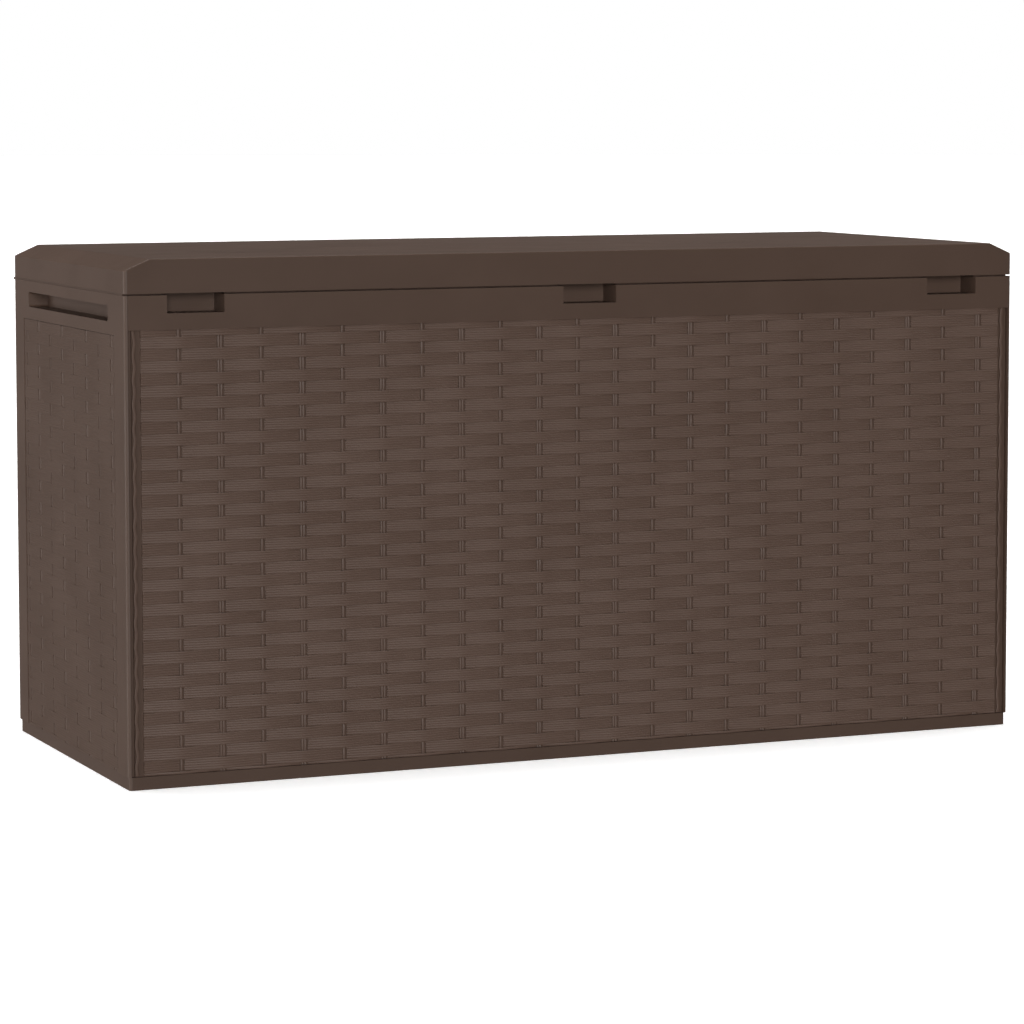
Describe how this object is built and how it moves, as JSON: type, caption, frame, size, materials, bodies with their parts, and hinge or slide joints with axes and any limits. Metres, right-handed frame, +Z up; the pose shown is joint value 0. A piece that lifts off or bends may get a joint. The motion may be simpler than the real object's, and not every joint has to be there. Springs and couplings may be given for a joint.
{
  "type": "deck storage box",
  "caption": "Long rectangular outdoor storage box with woven-look wall panels, finger recesses under a hinged lid and carrying slots in the ends.",
  "frame": {"origin": "on the ground under the middle of the overall outline, hinges included", "axes": "+Z up; +X from left to right seen from the front; the front with the finger recesses faces -Y and the hinges are at +Y"},
  "size_m": [1.14, 0.47, 0.6],
  "materials": {
    "wall_plastic": "satin",
    "lid_plastic": "satin",
    "base_plastic": "satin",
    "hinge_plastic": "satin",
    "pin_steel": "brushed",
    "screw_steel": "zinc plated"
  },
  "bodies": {
    "box": {"back_panel": "wall_plastic", "base_screws": "screw_steel", "base_tray": "base_plastic", "corner_screws_back_left": "screw_steel", "corner_screws_back_right": "screw_steel", "corner_screws_front_left": "screw_steel", "corner_screws_front_right": "screw_steel", "front_panel": "wall_plastic", "hinge_bracket_centre": "hinge_plastic", "hinge_bracket_left": "hinge_plastic", "hinge_bracket_right": "hinge_plastic", "hinge_bracket_screws": "screw_steel", "hinge_pin_centre": "pin_steel", "hinge_pin_left": "pin_steel", "hinge_pin_right": "pin_steel", "left_side_panel": "wall_plastic", "right_side_panel": "wall_plastic"},
    "lid": {"lid_shell": "lid_plastic", "lid_hinge_leaf_left": "hinge_plastic", "lid_hinge_leaf_centre": "hinge_plastic", "lid_hinge_leaf_right": "hinge_plastic", "lid_hinge_screws": "screw_steel"}
  },
  "joints": [
    {"name": "lid_hinge", "type": "hinge", "parent": "box", "child": "lid", "pos_m": [0, 0.227, 0.56], "axis": [-1, 0, 0], "range_deg": [0, 105]}
  ]
}
